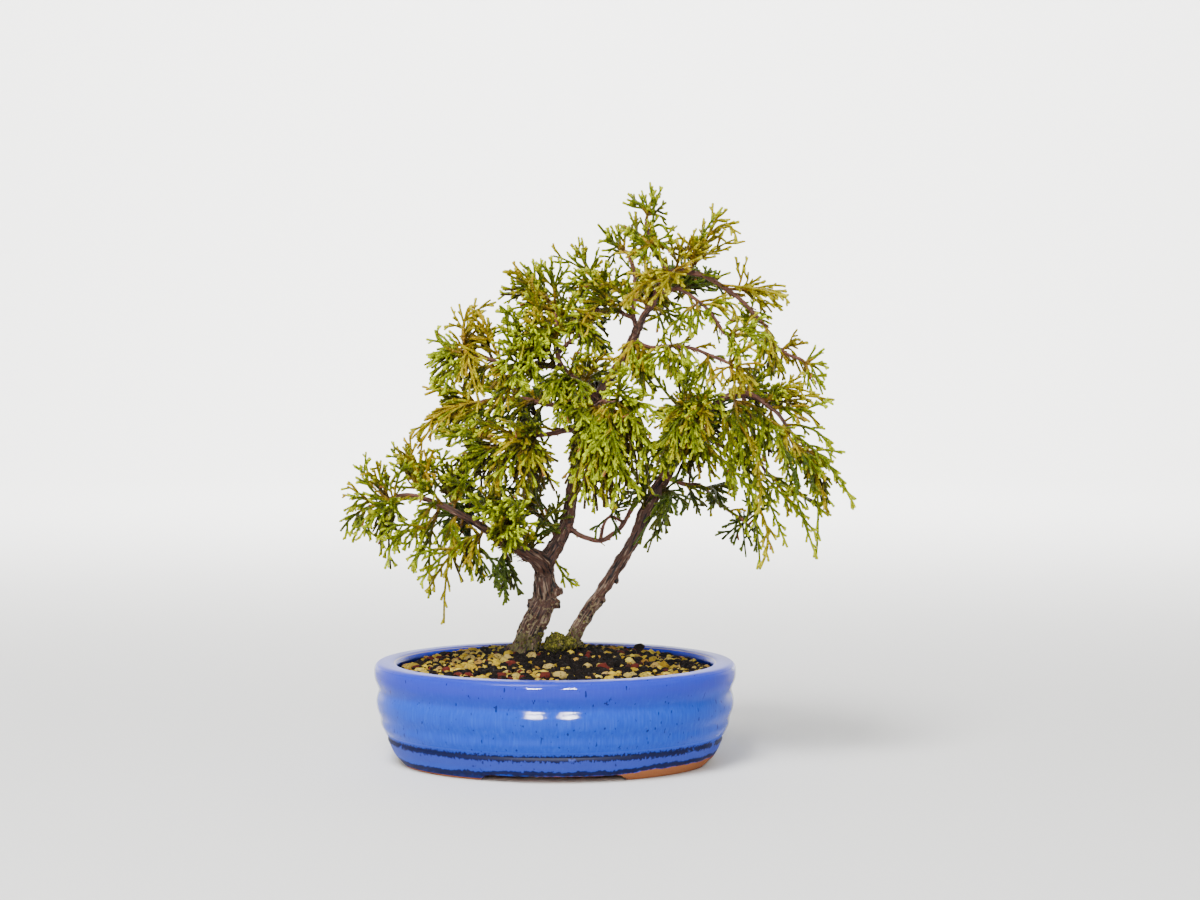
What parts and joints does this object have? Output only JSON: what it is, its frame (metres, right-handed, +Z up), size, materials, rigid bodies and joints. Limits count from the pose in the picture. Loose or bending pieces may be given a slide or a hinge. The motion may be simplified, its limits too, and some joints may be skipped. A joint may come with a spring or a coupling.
{
  "type": "filifera sawara cypress bonsai",
  "caption": "Small twin-trunk filifera sawara cypress with forked thread foliage, growing in gravel in an oval glazed pot on low feet.",
  "frame": {"origin": "on the surface that the pot stands on, below the middle of the whole tree and pot", "axes": "+Z up, +X along the pot's length towards the side that the tree leans to, -Y towards the front of the tree"},
  "size_m": [0.2844, 0.167, 0.3158],
  "materials": {
    "glaze": "glossy violet-blue ceramic glaze with fine streaks and dark specks, over bare terracotta at the feet",
    "drain_mesh": "matte black plastic mesh",
    "soil": "loose gravel of cream pumice, tan clay and dark red lava",
    "bark": "rough flaking red-brown bark with grey lichen and moss at the base",
    "foliage_green": "satin scale-leaved threads, mid green",
    "foliage_lime": "satin scale-leaved threads, yellow-green",
    "foliage_golden": "satin scale-leaved threads, golden brown",
    "foliage_dark": "satin scale-leaved threads, dark green"
  },
  "bodies": {
    "root": {"pot": "glaze", "drain_mesh_left": "drain_mesh", "drain_mesh_right": "drain_mesh", "soil": "soil", "tree_wood": "bark", "spray_low_left_end": "foliage_green", "spray_low_left_outer": "foliage_green", "spray_low_left_rise": "foliage_green", "spray_low_left_fall": "foliage_lime", "spray_low_left_middle": "foliage_green", "spray_low_left_long": "foliage_golden", "spray_low_left_inner": "foliage_green", "spray_low_left_under": "foliage_dark", "spray_low_left_front": "foliage_lime", "spray_low_left_back": "foliage_dark", "spray_inner_left_back": "foliage_dark", "spray_middle_left_end": "foliage_green", "spray_middle_left_over": "foliage_green", "spray_middle_left_back": "foliage_dark", "spray_middle_left_low": "foliage_green", "spray_middle_left_front": "foliage_lime", "spray_upper_left_end": "foliage_green", "spray_upper_left_rise": "foliage_green", "spray_upper_left_front": "foliage_lime", "spray_upper_middle_end": "foliage_green", "spray_upper_middle_front": "foliage_green", "spray_upper_middle_low": "foliage_lime", "spray_upper_inner_back": "foliage_dark", "spray_high_left_end": "foliage_green", "spray_high_left_low": "foliage_green", "spray_leader_end": "foliage_green", "spray_leader_side": "foliage_golden", "spray_high_middle_end": "foliage_green", "spray_high_right_end": "foliage_golden", "spray_high_right_front": "foliage_golden", "spray_high_back": "foliage_dark", "spray_arch_right_rise": "foliage_golden", "spray_arch_right_back": "foliage_lime", "spray_arch_right_end": "foliage_lime", "spray_arch_right_low": "foliage_golden", "spray_arch_front_end": "foliage_lime", "spray_arch_front_hang": "foliage_green", "spray_arch_centre_end": "foliage_green", "spray_arch_centre_hang": "foliage_lime", "spray_front_left": "foliage_lime", "spray_front_drop": "foliage_lime", "spray_front_end": "foliage_lime", "spray_front_right_end": "foliage_lime", "spray_right_out": "foliage_golden", "spray_right_out_back": "foliage_dark", "spray_right_long_end": "foliage_lime", "spray_right_long_inner": "foliage_green", "spray_right_drop_outer": "foliage_golden", "spray_right_drop_inner": "foliage_lime", "spray_right_drop_low": "foliage_green", "spray_back_right_end": "foliage_dark", "spray_low_right_back": "foliage_dark", "spray_second_low_front": "foliage_green", "spray_back_end": "foliage_green", "spray_back_high_end": "foliage_green"}
  },
  "joints": []
}
